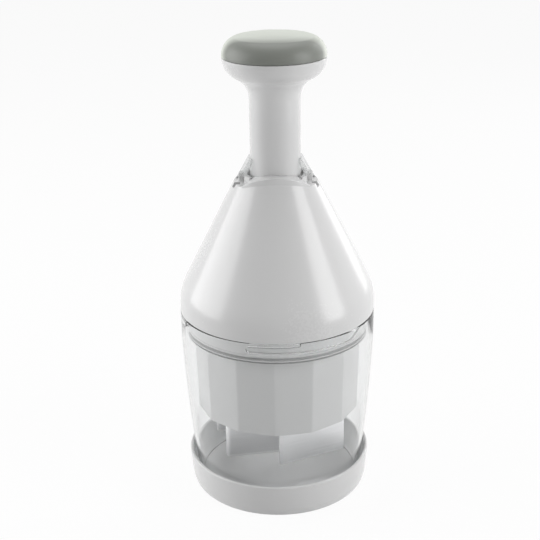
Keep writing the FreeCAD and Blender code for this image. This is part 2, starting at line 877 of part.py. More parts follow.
os.makedirs("parts", exist_ok=True)
for name, shape in nodes.items():
    shape.exportStep("parts/" + name + ".step")
    box = shape.BoundBox
    print("%-20s %s solids %d valid %s volume %.1f z %.2f to %.2f r %.2f" % (
        name, shape.ShapeType, len(shape.Solids), shape.isValid(), shape.Volume,
        box.ZMin, box.ZMax, max(box.XMax, box.YMax, -box.XMin, -box.YMin)))
print("press range from %.2f to %.2f mm" % (-travel_down, travel_up))
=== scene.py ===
import math
import bpy
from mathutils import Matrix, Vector


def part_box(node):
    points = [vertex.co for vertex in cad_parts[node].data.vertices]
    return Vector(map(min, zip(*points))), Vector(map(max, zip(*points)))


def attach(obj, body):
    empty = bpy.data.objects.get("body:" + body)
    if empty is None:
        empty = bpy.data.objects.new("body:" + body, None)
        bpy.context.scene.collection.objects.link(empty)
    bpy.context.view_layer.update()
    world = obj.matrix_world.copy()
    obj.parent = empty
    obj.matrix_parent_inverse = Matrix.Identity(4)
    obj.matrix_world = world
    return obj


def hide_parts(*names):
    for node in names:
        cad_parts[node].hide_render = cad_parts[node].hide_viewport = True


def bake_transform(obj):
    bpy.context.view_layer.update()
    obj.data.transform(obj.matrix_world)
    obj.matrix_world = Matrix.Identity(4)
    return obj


bl_info = {
    "name": "Plunger food chopper",
    "version": (1, 0, 0),
    "blender": (4, 5, 0),
    "location": "View3D > Sidebar > Chopper",
    "description": "Builds the plunger food chopper's visible pieces round its frame",
    "category": "Object",
}

# All lengths are in metres. The front is -Y, and azimuths run from the front towards +X.
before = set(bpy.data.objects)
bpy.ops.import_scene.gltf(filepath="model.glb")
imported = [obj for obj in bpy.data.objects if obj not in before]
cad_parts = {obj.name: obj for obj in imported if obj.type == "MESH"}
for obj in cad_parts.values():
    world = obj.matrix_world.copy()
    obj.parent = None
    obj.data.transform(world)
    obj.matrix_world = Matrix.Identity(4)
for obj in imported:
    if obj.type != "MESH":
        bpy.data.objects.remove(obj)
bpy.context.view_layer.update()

# Points nearer to each other than SAME are one, and NEAR is the slack when points are picked.
SAME = 1e-6
NEAR = 1e-5

# Steps of round shapes, and the angle up to which faces are shaded as one surface
ROUND_STEPS = 144
ARC_DEGREES = 7.0
SMOOTH_DEGREES = 32.0

# Gap between the hood and the container, and how far pieces and cutters reach past a face
GAP = 0.0003
OVERLAP = 0.001

# Bayonet rib: place and height, the step down in its first part, and the ramp at its end
RIB_DROP = 0.0004
RIB_HEIGHT = 0.0050
RIB_FIRST = -19.0
RIB_TIP = 0.0003
STEP_AZIMUTH = 12.5
STEP_DROP = 0.0018
RAMP_FIRST = 48.0
RAMP_LAST = 57.0
RAMP_RISE = RIB_HEIGHT - 0.0002
LUG_HEIGHT = 0.0017

# Width of a rib's columns in degrees, and how much of it counts when one column is picked
RIB_STEP = 0.5
COLUMN_REACH = 0.45

# Seat of the bearing plate inside the hood
SEAT_WIDTH = 0.002
SEAT_HEIGHT = 0.0025

# Clear guard at the neck
GUARD_TAPER = 0.54
GUARD_FOOT = 0.0043
GUARD_WALL = 0.0016
GUARD_BORE = 0.0130

# Rounding of small inner edges
FINE_ROUND = 0.0002


def low(node):
    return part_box(node)[0]


def high(node):
    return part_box(node)[1]


# The photograph's frame and the camera, in pixels, metres and degrees
PHOTO_SIDE = 540.0
CAMERA_FOCAL_PIXELS = 1121.8
CAMERA_PLACE = (-0.00349, -0.53583, 0.32799)
CAMERA_DOWN = 21.417
CAMERA_ROLL = 0.848
SENSOR_WIDTH = 36.0


class ChopperSizes(bpy.types.PropertyGroup):
    """Wall, round and gap sizes of the pieces that are modelled here"""

    hood_wall: bpy.props.FloatProperty(
        name="Hood wall", description="Wall thickness of the hood",
        default=0.002, unit="LENGTH")
    hood_neck_radius: bpy.props.FloatProperty(
        name="Hood neck radius", description="Radius of the hood at its top",
        default=0.0209, unit="LENGTH")
    hood_rim_height: bpy.props.FloatProperty(
        name="Hood rim height", description="Height at which the cone would meet the upright edge",
        default=0.0098, unit="LENGTH")
    hood_shoulder_round: bpy.props.FloatProperty(
        name="Hood shoulder round", description="Rounding where the cone meets the edge",
        default=0.026, unit="LENGTH")
    hood_edge_round: bpy.props.FloatProperty(
        name="Hood edge round", description="Rounding of the hood's lower edge",
        default=0.0005, unit="LENGTH")
    spigot_radius: bpy.props.FloatProperty(
        name="Spigot radius", description="Outer radius of the hood's spigot",
        default=0.0469, unit="LENGTH")
    spigot_wall: bpy.props.FloatProperty(
        name="Spigot wall", description="Wall thickness of the spigot",
        default=0.0016, unit="LENGTH")
    container_wall: bpy.props.FloatProperty(
        name="Container wall", description="Wall thickness of the clear container",
        default=0.0016, unit="LENGTH")
    container_foot_radius: bpy.props.FloatProperty(
        name="Container foot radius", description="Outer radius of the container at its foot",
        default=0.043, unit="LENGTH")
    container_bulge: bpy.props.FloatProperty(
        name="Container bulge", description="How far the taper bows out half way",
        default=0.0009, unit="LENGTH")
    collar_height: bpy.props.FloatProperty(
        name="Collar height", description="Height of the container's straight collar",
        default=0.0146, unit="LENGTH")
    dish_wall: bpy.props.FloatProperty(
        name="Dish wall", description="Wall thickness of the dish",
        default=0.0018, unit="LENGTH")
    dish_foot_radius: bpy.props.FloatProperty(
        name="Dish foot radius", description="Radius of the dish at its flat foot",
        default=0.0456, unit="LENGTH")
    drum_wall: bpy.props.FloatProperty(
        name="Drum wall", description="Wall thickness of the faceted drum",
        default=0.0016, unit="LENGTH")
    drum_corner_round: bpy.props.FloatProperty(
        name="Drum corner round", description="Rounding of the drum's upright corners",
        default=0.0009, unit="LENGTH")
    stem_wall: bpy.props.FloatProperty(
        name="Stem wall", description="Wall thickness of the stem and its flare",
        default=0.0018, unit="LENGTH")
    cap_skin: bpy.props.FloatProperty(
        name="Cap skin", description="Thickness of the soft cap",
        default=0.002, unit="LENGTH")
    groove_height: bpy.props.FloatProperty(
        name="Groove height", description="Height of the shadow groove under the spigot",
        default=0.0016, unit="LENGTH")
    notch_depth: bpy.props.FloatProperty(
        name="Notch depth", description="Depth of the two notches at the hood's top",
        default=0.002, unit="LENGTH")
    boss_radius: bpy.props.FloatProperty(
        name="Boss radius", description="Radius of the screw bosses inside the hood",
        default=0.0034, unit="LENGTH")
    fold_radius: bpy.props.FloatProperty(
        name="Fold radius", description="Radius of the blade's folds",
        default=0.002, unit="LENGTH")
    blade_thickness: bpy.props.FloatProperty(
        name="Blade thickness", description="Thickness of the blade's sheet",
        default=0.0007, unit="LENGTH")
    ground_height: bpy.props.FloatProperty(
        name="Ground height", description="Height of the blade's ground edge",
        default=0.0013, unit="LENGTH")
    edge_round: bpy.props.FloatProperty(
        name="Edge round", description="Small rounding of moulded edges",
        default=0.0003, unit="LENGTH")


class ChopperColours(bpy.types.PropertyGroup):
    """Colours of the finishes"""

    shell_white: bpy.props.FloatVectorProperty(
        name="Shell white", description="Glossy white of the hood and stem", subtype="COLOR",
        default=(0.80, 0.80, 0.80), min=0.0, max=1.0)
    inner_white: bpy.props.FloatVectorProperty(
        name="Inner white", description="White of the drum and the inner pieces", subtype="COLOR",
        default=(0.76, 0.76, 0.76), min=0.0, max=1.0)
    dish_white: bpy.props.FloatVectorProperty(
        name="Dish white", description="White of the dish", subtype="COLOR",
        default=(0.78, 0.78, 0.78), min=0.0, max=1.0)
    grip_grey: bpy.props.FloatVectorProperty(
        name="Grip grey", description="Grey of the soft cap", subtype="COLOR",
        default=(0.238, 0.250, 0.226), min=0.0, max=1.0)
    blade_steel: bpy.props.FloatVectorProperty(
        name="Blade steel", description="Steel of the blade", subtype="COLOR",
        default=(0.84, 0.84, 0.85), min=0.0, max=1.0)
    clear_tint: bpy.props.FloatVectorProperty(
        name="Clear tint", description="Tint of the clear plastic", subtype="COLOR",
        default=(0.95, 0.954, 0.954), min=0.0, max=1.0)
    guard_tint: bpy.props.FloatVectorProperty(
        name="Guard tint", description="Tint of the clear neck guard", subtype="COLOR",
        default=(0.92, 0.925, 0.925), min=0.0, max=1.0)


class Wire:
    """A node's output, with which sums and products are written as plain expressions"""

    def __init__(self, finish, socket):
        self.finish = finish
        self.socket = socket

    def maths(self, operation, first, second):
        return self.finish.add("ShaderNodeMath", {"operation": operation}, {0: first, 1: second})

    def __add__(self, other):
        return self.maths("ADD", self, other)

    def __radd__(self, other):
        return self.maths("ADD", other, self)

    def __sub__(self, other):
        return self.maths("SUBTRACT", self, other)

    def __rsub__(self, other):
        return self.maths("SUBTRACT", other, self)

    def __mul__(self, other):
        return self.maths("MULTIPLY", self, other)

    def __rmul__(self, other):
        return self.maths("MULTIPLY", other, self)

    def __lt__(self, other):
        return self.maths("LESS_THAN", self, other)

    def __gt__(self, other):
        return self.maths("GREATER_THAN", self, other)


def grey(level):
    return (level, level, level, 1.0)


def shade_of(colour, level):
    return (colour[0] * level, colour[1] * level, colour[2] * level, 1.0)


class Finish:
    """A material, or the world, that is written as nodes"""

    def __init__(self, name, kind="materials"):
        self.owner = getattr(bpy.data, kind).new(name)
        self.owner.use_nodes = True
        self.tree = self.owner.node_tree
        self.tree.nodes.clear()

    def add(self, kind, settings=None, inputs=None, output=0):
        node = self.tree.nodes.new(kind)
        for key, value in (settings or {}).items():
            setattr(node, key, value)
        for key, value in (inputs or {}).items():
            if isinstance(value, Wire):
                self.tree.links.new(value.socket, node.inputs[key])
            else:
                node.inputs[key].default_value = value
        return Wire(self, node.outputs[output])

    def place(self):
        return self.add("ShaderNodeTexCoord", output="Object")

    def axis(self, letter):
        return self.add("ShaderNodeSeparateXYZ", inputs={0: self.place()}, output=letter)

    def stretched(self, scale):
        return self.add("ShaderNodeMapping", inputs={"Vector": self.place(), "Scale": scale})

    def noise(self, scale, detail=2.0, vector=None):
        inputs = {"Vector": vector or self.place(), "Scale": scale, "Detail": detail}
        return self.add("ShaderNodeTexNoise", inputs=inputs)

    # A Mix node keeps its two colours on sockets 6 and 7, and gives their mix on output 2.
    def mixed(self, factor, first, second):
        inputs = {0: factor, 6: first, 7: second}
        return self.add("ShaderNodeMix", {"data_type": "RGBA"}, inputs, output=2)

    def shaded(self, factor, colour, first, second):
        return self.mixed(factor, shade_of(colour, first), shade_of(colour, second))

    def bump(self, height, strength, distance):
        inputs = {"Height": height, "Strength": strength, "Distance": distance}
        return self.add("ShaderNodeBump", inputs=inputs)

    def clamped(self, value):
        return self.add("ShaderNodeClamp", inputs={0: value})

    # 0 where the surface faces the eye, and 1 where it is seen edge on
    def slant(self, blend=0.5):
        return self.add("ShaderNodeLayerWeight", inputs={"Blend": blend}, output="Facing")

    # 1 for light paths of the named kinds, and 0 for all others
    def rays(self, *kinds):
        found = [self.add("ShaderNodeLightPath", output="Is %s Ray" % kind) for kind in kinds]
        return self.clamped(sum(found[1:], found[0]))

    def surface(self, inputs):
        return self.add("ShaderNodeBsdfPrincipled", inputs=inputs)

    def see_through(self, colour):
        return self.add("ShaderNodeBsdfTransparent", inputs={"Color": colour})

    def blended(self, share, first, second):
        return self.add("ShaderNodeMixShader", inputs={0: share, 1: first, 2: second})

    def finished(self, shader, kind="ShaderNodeOutputMaterial"):
        output = self.tree.nodes.new(kind)
        self.tree.links.new(shader.socket, output.inputs["Surface"])
        return self.owner


# Moulded white plastic: faint flow marks, uneven gloss and a fine skin
def moulded_plastic(name, colour, roughness, coat):
    finish = Finish(name)
    flow = finish.noise(24.0, 3.0, finish.stretched((1.0, 1.0, 0.35)))
    grain = finish.noise(900.0)
    return finish.finished(finish.surface({
        "Base Color": finish.shaded(flow, colour, 0.975, 1.015),
        "Roughness": roughness + flow * 0.06 + grain * 0.03,
        "IOR": 1.49,
        "Coat Weight": coat,
        "Coat Roughness": 0.15,
        "Normal": finish.bump(grain, 0.05, 0.00004),
    }))


# Soft grip: matt skin with a fine pebble, and a painted sheen that makes its colour paler where it
# is seen at a slant
def soft_grip(name, colour):
    finish = Finish(name)
    patch = finish.noise(45.0, 3.0)
    pebble = finish.noise(2600.0)
    # Painted sheen: the colour is mixed to a pale grey where the skin is seen edge on, which paints
    # the lamps' sheen on the cap's top
    painted_sheen = finish.clamped((finish.slant() - 0.58) * 4.5)
    skin = finish.shaded(patch * 0.7 + pebble * 0.3, colour, 0.93, 1.06)
    return finish.finished(finish.surface({
        "Base Color": finish.mixed(painted_sheen, skin, shade_of(colour, 2.9)),
        "Roughness": 0.36 + patch * 0.10,
        "IOR": 1.5,
        "Normal": finish.bump(pebble, 0.10, 0.00004),
    }))


# Satin steel with fine grinding lines along the strip, and a bright ground edge below ground_top
def satin_steel(name, colour, ground_top=None):
    finish = Finish(name)
    lines = finish.noise(260.0, 4.0, finish.stretched((0.12, 0.12, 9.0)))
    patch = finish.noise(60.0)
    shade = finish.shaded(lines, colour, 0.88, 1.08)
    roughness = 0.36 + lines * 0.12 + patch * 0.05
    if ground_top is not None:
        ground = finish.axis("Z") < ground_top
        shade = finish.mixed(ground, shade, shade_of(colour, 1.25))
        roughness = roughness - ground * 0.1
    return finish.finished(finish.surface({
        "Base Color": shade,
        "Metallic": 1.0,
        "Roughness": roughness,
        "Normal": finish.bump(lines, 0.06, 0.00003),
    }))


# Clear moulded plastic that lets the light through to what it holds
def clear_plastic(name, tint, roughness, bending):
    finish = Finish(name)
    wave = finish.noise(30.0)
    slant = finish.slant()
    body = finish.surface({
        "Base Color": finish.shaded(slant * slant * 0.9 + wave * 0.1, tint, 1.0, 0.88),
        "Roughness": roughness + wave * 0.02,
        "IOR": bending,
        "Transmission Weight": 1.0,
        "Normal": finish.bump(wave, 0.04, 0.0002),
    })
    through = finish.see_through(shade_of(tint, 1.04))
    return finish.finished(finish.blended(finish.rays("Shadow", "Diffuse"), body, through))


# Thin clear guard: what stands behind it is seen unbent, with a sheen towards its edges
def thin_guard(name, tint):
    finish = Finish(name)
    wave = finish.noise(30.0)
    slant = finish.slant(0.35)
    sheet = finish.surface({
        "Base Color": grey(0.9),
        "Roughness": 0.16 + wave * 0.04,
        "IOR": 1.49,
        "Normal": finish.bump(wave, 0.02, 0.0001),
    })
    through = finish.see_through(finish.shaded(wave, tint, 0.985, 1.0))
    share = finish.clamped(0.08 + slant * slant * 0.34)
    return finish.finished(finish.blended(share, through, sheet))


def make_finishes(sizes, colours):
    ground_top = low("zigzag_blade").z + sizes.ground_height
    return {
        "shell": moulded_plastic("glossy white shell", colours.shell_white, 0.22, 0.4),
        "inner": moulded_plastic("white inner parts", colours.inner_white, 0.20, 0.3),
        "dish": moulded_plastic("white dish", colours.dish_white, 0.20, 0.3),
        "grip": soft_grip("grey grip", colours.grip_grey),
        "blade": satin_steel("ground blade steel", colours.blade_steel, ground_top),
        "steel": satin_steel("plain steel", colours.blade_steel),
        "clear": clear_plastic("clear plastic", colours.clear_tint, 0.02, 1.33),
        "guard": thin_guard("clear guard", colours.guard_tint),
    }


finishes = {}


# Modelling helpers
def edit():
    bpy.ops.object.mode_set(mode="EDIT")


def leave():
    bpy.ops.object.mode_set(mode="OBJECT")


def deselect():
    if bpy.context.object is not None and bpy.context.object.mode != "OBJECT":
        leave()
    bpy.ops.object.select_all(action="DESELECT")


def only(piece):
    deselect()
    piece.select_set(True)
    bpy.context.view_layer.objects.active = piece


def pick_points(piece, test):
    leave()
    mesh = piece.data
    for part in (mesh.vertices, mesh.edges, mesh.polygons):
        for element in part:
            element.select = False
    for vertex in mesh.vertices:
        vertex.select = test(vertex.co)
    edit()
    bpy.ops.mesh.select_mode(type="VERT")


def select_all():
    bpy.ops.mesh.select_all(action="SELECT")


def extrude(way):
    bpy.ops.mesh.extrude_region_move(TRANSFORM_OT_translate={"value": way})


def face_outwards():
    select_all()
    bpy.ops.mesh.normals_make_consistent(inside=False)


def spot(radius, azimuth, z):
    turn = math.radians(azimuth)
    return Vector((radius * math.sin(turn), -radius * math.cos(turn), z))


# Radius of an arc that rises so far over half its chord
def arc_radius(half_chord, rise):
    return (half_chord ** 2 + rise ** 2) / (2 * rise)


# Corners are (radius, z) or (radius, z, rounding), and the result is plain points.
def rounded(corners, closed=True):
    points = []
    count = len(corners)
    for i, corner in enumerate(corners):
        here = Vector(corner[:2])
        is_end = not closed and i in (0, count - 1)
        if len(corner) < 3 or corner[2] <= 0 or is_end:
            points.append(here)
            continue
        back = (Vector(corners[i - 1][:2]) - here).normalized()
        ahead = (Vector(corners[(i + 1) % count][:2]) - here).normalized()
        half = back.angle(ahead) / 2
        centre = here + (back + ahead).normalized() * (corner[2] / math.sin(half))
        first = here + back * (corner[2] / math.tan(half)) - centre
        last = here + ahead * (corner[2] / math.tan(half)) - centre
        points += swept(centre, first, last)
    return points


# Points of an arc from one spoke of a centre to the other
def swept(centre, first, last):
    angle = first.angle(last)
    steps = max(3, int(math.degrees(angle) / ARC_DEGREES))
    points = []
    for i in range(steps + 1):
        share = i / steps
        near = math.sin(angle * (1 - share)) / math.sin(angle)
        far = math.sin(angle * share) / math.sin(angle)
        points.append(centre + first * near + last * far)
    return points


# A point is drawn out along the places, and edit mode is left on, with the last point selected.
def drawn(name, places):
    deselect()
    bpy.ops.mesh.primitive_plane_add(size=0.01)
    piece = bpy.context.object
    piece.name = name
    edit()
    bpy.ops.mesh.merge(type="CENTER")
    bpy.ops.transform.translate(value=places[0])
    for here, there in zip(places, places[1:]):
        extrude(there - here)
    return piece


# An outline is drawn at the first azimuth and spun round the upright axis.
def turned(name, points, first=90.0, sweep=360.0, steps=ROUND_STEPS):
    places = [spot(point.x, first, point.y) for point in points]
    piece = drawn(name, places)
    if points[0].x > SAME or points[-1].x > SAME:
        ends = (places[0], places[-1])
        pick_points(piece, lambda place: min((place - end).length for end in ends) < SAME)
        bpy.ops.mesh.edge_face_add()
    select_all()
    count = max(2, int(round(steps * sweep / 360.0)))
    bpy.ops.mesh.spin(steps=count, angle=-math.radians(sweep), center=(0, 0, 0), axis=(0, 0, 1))
    if sweep < 360.0:
        for azimuth in (first, first + sweep):
            across = spot(1.0, azimuth + 90.0, 0)
            out = spot(1.0, azimuth, 0)
            pick_points(piece, lambda place: abs(place.dot(across)) < SAME and place.dot(out) > 0)
            bpy.ops.mesh.edge_face_add()
    select_all()
    bpy.ops.mesh.remove_doubles(threshold=SAME)
    face_outwards()
    leave()
    return piece


def sector(name, inner, outer, bottom, top, first, last, steps=ROUND_STEPS):
    corners = [(inner, bottom), (outer, bottom), (outer, top), (inner, top)]
    return turned(name, rounded(corners), first, last - first, steps)


def cylinder(name, sides, radius, depth, place, rotation=(0, 0, 0), ends="NGON"):
    deselect()
    bpy.ops.mesh.primitive_cylinder_add(vertices=sides, radius=radius, depth=depth,
                                        location=place, rotation=rotation, end_fill_type=ends)
    piece = bpy.context.object
    piece.name = name
    return piece


def apply_place():
    bpy.ops.object.transform_apply(location=True, rotation=True, scale=True)


def modify(piece, kind, **settings):
    modifier = piece.modifiers.new(kind, kind)
    for key, value in settings.items():
        setattr(modifier, key, value)


def apply_all(piece):
    only(piece)
    for modifier in list(piece.modifiers):
        bpy.ops.object.modifier_apply(modifier=modifier.name)


def carve(piece, tool, operation="DIFFERENCE"):
    modify(piece, "BOOLEAN", operation=operation, solver="EXACT", object=tool)
    apply_all(piece)
    bpy.data.objects.remove(tool)


def soften_edges(piece, width, segments=2, degrees=35.0):
    modify(piece, "BEVEL", width=width, segments=segments, limit_method="ANGLE",
           angle_limit=math.radians(degrees))
    apply_all(piece)


def finish_piece(piece, body, finish, nodes=()):
    only(piece)
    bpy.ops.object.shade_smooth_by_angle(angle=math.radians(SMOOTH_DEGREES))
    piece.data.materials.clear()
    piece.data.materials.append(finishes[finish])
    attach(piece, body)
    if nodes:
        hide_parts(*nodes)


# The piece's name ends in 1. Copies of it are turned evenly round the axis and numbered on.
def finish_around(piece, body, finish, count=3):
    base_name = piece.name[:-1]
    copies = []
    for i in range(1, count):
        only(piece)
        bpy.ops.object.duplicate()
        copy = bpy.context.object
        copy.name = base_name + str(i + 1)
        edit()
        select_all()
        bpy.ops.transform.rotate(value=2 * math.pi * i / count, orient_axis="Z",
                                 center_override=(0, 0, 0))
        leave()
        copies.append(copy)
    for each in [piece] + copies:
        finish_piece(each, body, finish)


# A rib is cut into fine columns, so that each one can be moved up or down.
def rib_sector(name, inner, outer, bottom, top, first, last):
    return sector(name, inner, outer, bottom, top, first, last, int(360 / RIB_STEP))


# Points of a rib within so many degrees of an azimuth are moved where their height passes the test.
def move_span(piece, azimuth, reach, test, rise):
    out = spot(1.0, azimuth, 0).to_2d()
    near = math.cos(math.radians(reach + RIB_STEP * COLUMN_REACH))
    pick_points(piece, lambda place: test(place.z) and place.to_2d().normalized().dot(out) > near)
    bpy.ops.transform.translate(value=(0, 0, rise))
    leave()


# Low points climb evenly from one azimuth to the rib's end.
def ramp_up(piece, below, first, last, height):
    columns = int(round((last - first) / RIB_STEP))
    for i in range(1, columns + 1):
        move_span(piece, first + RIB_STEP * i, 0, lambda z: z < below, height * i / columns)


# The rib starts with a round end of the given half height.
def round_start(piece, first, middle, half, radius):
    for i in range(int(half / (radius * math.radians(RIB_STEP))) + 1):
        along = half - radius * math.radians(RIB_STEP * i)
        cut = min(half - math.sqrt(half ** 2 - along ** 2), half - RIB_TIP)
        move_span(piece, first + RIB_STEP * i, 0, lambda z: z < middle, cut)
        move_span(piece, first + RIB_STEP * i, 0, lambda z: z > middle, -cut)


# Hood, with its front visor
def hood_edge():
    return high("clear_container").z + GAP


def hood_taper(sizes):
    rise = low("neck_collar").z - hood_edge() - sizes.hood_rim_height
    return (high("hood_shell").x - sizes.hood_neck_radius) / rise


def hood_outline(sizes):
    taper = hood_taper(sizes)
    neck = sizes.hood_neck_radius
    hood_top = low("neck_collar").z
    edge = hood_edge()
    spigot_bottom = low("hood_shell").z
    radius = high("hood_shell").x
    inner = radius - sizes.hood_wall
    bore = sizes.spigot_radius - sizes.spigot_wall
    slant = sizes.hood_wall * math.sqrt(1 + taper ** 2)
    shoulder = hood_top - (radius - neck) / taper
    inner_shoulder = hood_top - (inner + slant - neck) / taper
    bush_cover = 0.0015
    hole = high("neck_bush").x - bush_cover
    neck_round = 0.0006
    plate_top = high("bearing_plate").z
    seat_top = plate_top + SEAT_HEIGHT
    underside = hood_top - sizes.hood_wall
    return rounded([
        (hole, hood_top),
        (neck, hood_top, neck_round),
        (radius, shoulder, sizes.hood_shoulder_round),
        (radius, edge, sizes.hood_edge_round),
        (sizes.spigot_radius, edge),
        (sizes.spigot_radius, spigot_bottom, sizes.edge_round),
        (bore, spigot_bottom, sizes.edge_round),
        (bore, plate_top),
        (bore - SEAT_WIDTH, plate_top),
        (bore - SEAT_WIDTH, seat_top),
        (inner, seat_top),
        (inner, inner_shoulder, sizes.hood_shoulder_round - sizes.hood_wall),
        (neck + taper * sizes.hood_wall - slant, underside),
        (hole, underside),
    ])


def rib_bottom():
    return high("clear_container").z - RIB_DROP - RIB_HEIGHT


class CHOPPER_OT_hood(bpy.types.Operator):
    """Make the white cone hood with its spigot, lugs and front visor"""

    bl_idname = "chopper.hood"
    bl_label = "Hood"

    visor_span = 52.0
    visor_reach = 0.0194
    visor_half_width = 0.0166
    visor_crease_rise = 0.0032
    visor_side_rise = 0.0007

    def execute(self, context):
        sizes = context.scene.chopper_sizes
        hood = turned("hood", hood_outline(sizes))
        self.cut_notches(sizes, hood)
        self.cut_grooves(sizes, hood)
        finish_piece(hood, "hood", "shell", ["hood_shell"])
        self.make_lugs(sizes)
        self.make_catches(sizes)
        self.make_bosses(sizes)
        self.make_visor()
        self.make_visor_root(sizes)
        return {"FINISHED"}

    # A notch on each side of the hood's top stands open beside the clear guard.
    def cut_notches(self, sizes, hood):
        hood_top = low("neck_collar").z
        inner = high("neck_collar").x - 0.0019
        outer = sizes.hood_neck_radius + sizes.notch_depth
        for first, last in ((70.0, 80.0), (-80.0, -70.0)):
            carve(hood, sector("notch", inner, outer, hood_top - sizes.notch_depth,
                               hood_top + OVERLAP, first, last))

    # A cam groove runs behind each of the container's ribs.
    def cut_grooves(self, sizes, hood):
        depth = 0.0009
        half_height = 0.0003
        start = 1.5
        inner = sizes.spigot_radius - depth
        outer = sizes.spigot_radius + GAP
        middle = rib_bottom()
        for i in range(3):
            turn = 120.0 * i
            last = RAMP_LAST + turn
            groove = rib_sector("cam groove", inner, outer, middle - half_height,
                                middle + half_height, RIB_FIRST + start + turn, last)
            ramp_up(groove, middle + OVERLAP, RAMP_FIRST + turn, last, RAMP_RISE)
            carve(hood, groove)

    # The lugs hook under the container's ribs.
    def make_lugs(self, sizes):
        root = 0.0004
        reach = 0.0012
        top = rib_bottom() - GAP
        lug = sector("bayonet_lug_1", sizes.spigot_radius - root, sizes.spigot_radius + reach,
                     top + GAP - LUG_HEIGHT, top, -17.5, 12.0)
        soften_edges(lug, sizes.edge_round)
        finish_around(lug, "hood", "shell")

    # The catches carry the raised foot of the clear guard.
    def make_catches(self, sizes):
        reach = 0.0008
        gap = 0.00005
        foot = high("neck_collar").x - GUARD_TAPER * GUARD_FOOT
        base = low("neck_collar").z
        catch = sector("guard_catch_1", foot - GUARD_WALL, foot + reach, base - OVERLAP,
                       base + GUARD_FOOT - gap, 84.0, 96.0)
        soften_edges(catch, sizes.edge_round * 1.5, 3)
        finish_around(catch, "hood", "shell", 2)

    # Screw bosses stand on the bearing plate, each joined to the wall by a web.
    def make_bosses(self, sizes):
        azimuth = 60.0
        height = 0.0304
        hole_radius = 0.00155
        hole_depth = 0.0113
        web_inner = 0.0385
        web_half_span = 1.5
        plate_top = high("bearing_plate").z
        place = spot(1, azimuth, 0) * 0.036 + Vector((0, 0, plate_top + height / 2))
        boss = cylinder("screw_boss_1", 48, sizes.boss_radius, height, place)
        apply_place()
        pick_points(boss, lambda place: place.z < plate_top + NEAR)
        bpy.ops.mesh.inset(thickness=sizes.boss_radius - hole_radius)
        extrude((0, 0, hole_depth))
        leave()
        soften_edges(boss, FINE_ROUND, 2, 60.0)
        finish_around(boss, "hood", "shell")
        web_outer = sizes.spigot_radius - sizes.spigot_wall - 0.0002
        web = sector("boss_web_1", web_inner, web_outer, plate_top, plate_top + SEAT_HEIGHT,
                     azimuth - web_half_span, azimuth + web_half_span)
        soften_edges(web, FINE_ROUND)
        finish_around(web, "hood", "shell")

    # How far the visor's front stands before the line between its side corners
    def visor_depth(self):
        return self.visor_reach - self.visor_half_width / math.tan(math.radians(self.visor_span))

    # The visor is a ring segment, cut by an upright cylinder in front and a lying one above.
    def make_visor(self):
        cutter_sides = 256
        sink = 0.0015
        reach = self.visor_reach
        hood_top = low("neck_collar").z
        rise = high("hood_shell").z - hood_top
        visor = sector("visor", GUARD_BORE, reach * 1.4, hood_top - sink, hood_top + rise * 1.2,
                       -self.visor_span, self.visor_span)
        bend = arc_radius(self.visor_half_width, self.visor_depth())
        arch = arc_radius(self.visor_half_width, rise - self.visor_side_rise)
        front = cylinder("front cutter", cutter_sides, bend, 0.04, (0, bend - reach, hood_top))
        carve(visor, front, "INTERSECT")
        above = cylinder("arch cutter", cutter_sides, arch, 0.1, (0, 0, hood_top + rise - arch),
                         (math.pi / 2, 0, 0))
        carve(visor, above, "INTERSECT")
        soften_edges(visor, 0.0005, 3, 40.0)
        finish_piece(visor, "hood", "shell")

    # Below the visor the cone goes on upwards to a crease that leans back.
    def make_visor_root(self, sizes):
        inner = 0.015
        skin = 0.00004
        hood_top = low("neck_collar").z
        bottom = hood_top - OVERLAP
        top = hood_top + self.visor_crease_rise
        slope = (self.visor_crease_rise - self.visor_side_rise) / self.visor_depth()
        taper = hood_taper(sizes)

        def cone_radius(z):
            return sizes.hood_neck_radius + skin + taper * (hood_top - z)

        root = turned("visor_root", rounded([
            (inner, bottom),
            (cone_radius(bottom), bottom),
            (cone_radius(top), top),
            (inner, top),
        ]), -80.0, 160.0)
        only(root)
        edit()
        select_all()
        bpy.ops.mesh.bisect(plane_co=(0, -self.visor_reach, top), plane_no=(0, slope, 1),
                            use_fill=True, clear_outer=True)
        leave()
        finish_piece(root, "hood", "shell")


class CHOPPER_OT_neck(bpy.types.Operator):
    """Make the clear guard behind and beside the stem"""

    bl_idname = "chopper.neck"
    bl_label = "Neck guard"

    def execute(self, context):
        sizes = context.scene.chopper_sizes
        base = low("neck_collar").z
        tip = high("neck_collar").z
        radius = 0.0203
        bore_z = base + (radius - GUARD_WALL - GUARD_BORE) / GUARD_TAPER
        guard = turned("neck_guard", rounded([
            (radius - GUARD_WALL, base),
            (radius, base),
            (radius - GUARD_TAPER * (tip - base), tip, sizes.edge_round * 0.6),
            (GUARD_BORE, tip),
            (GUARD_BORE, bore_z),
        ]), 60.0, 240.0)
        for first, last in ((50.0, 100.0), (260.0, 310.0)):
            carve(guard, sector("window", 0.005, 0.03, base - OVERLAP, base + GUARD_FOOT,
                                first, last))
        soften_edges(guard, sizes.edge_round * 1.6, 4)
        finish_piece(guard, "hood", "guard", ["neck_collar"])
        return {"FINISHED"}


# Container
def container_side(sizes, inset):
    bottom = low("clear_container").z
    collar = high("clear_container").z - sizes.collar_height
    radius = high("clear_container").x
    foot = sizes.container_foot_radius
    points = []
    steps = 24
    for i in range(steps + 1):
        share = i / steps
        bow = 4 * sizes.container_bulge * share * (1 - share)
        out = foot + (radius - foot) * share + bow - inset
        points.append(Vector((out, bottom + (collar - bottom) * share)))
    return points


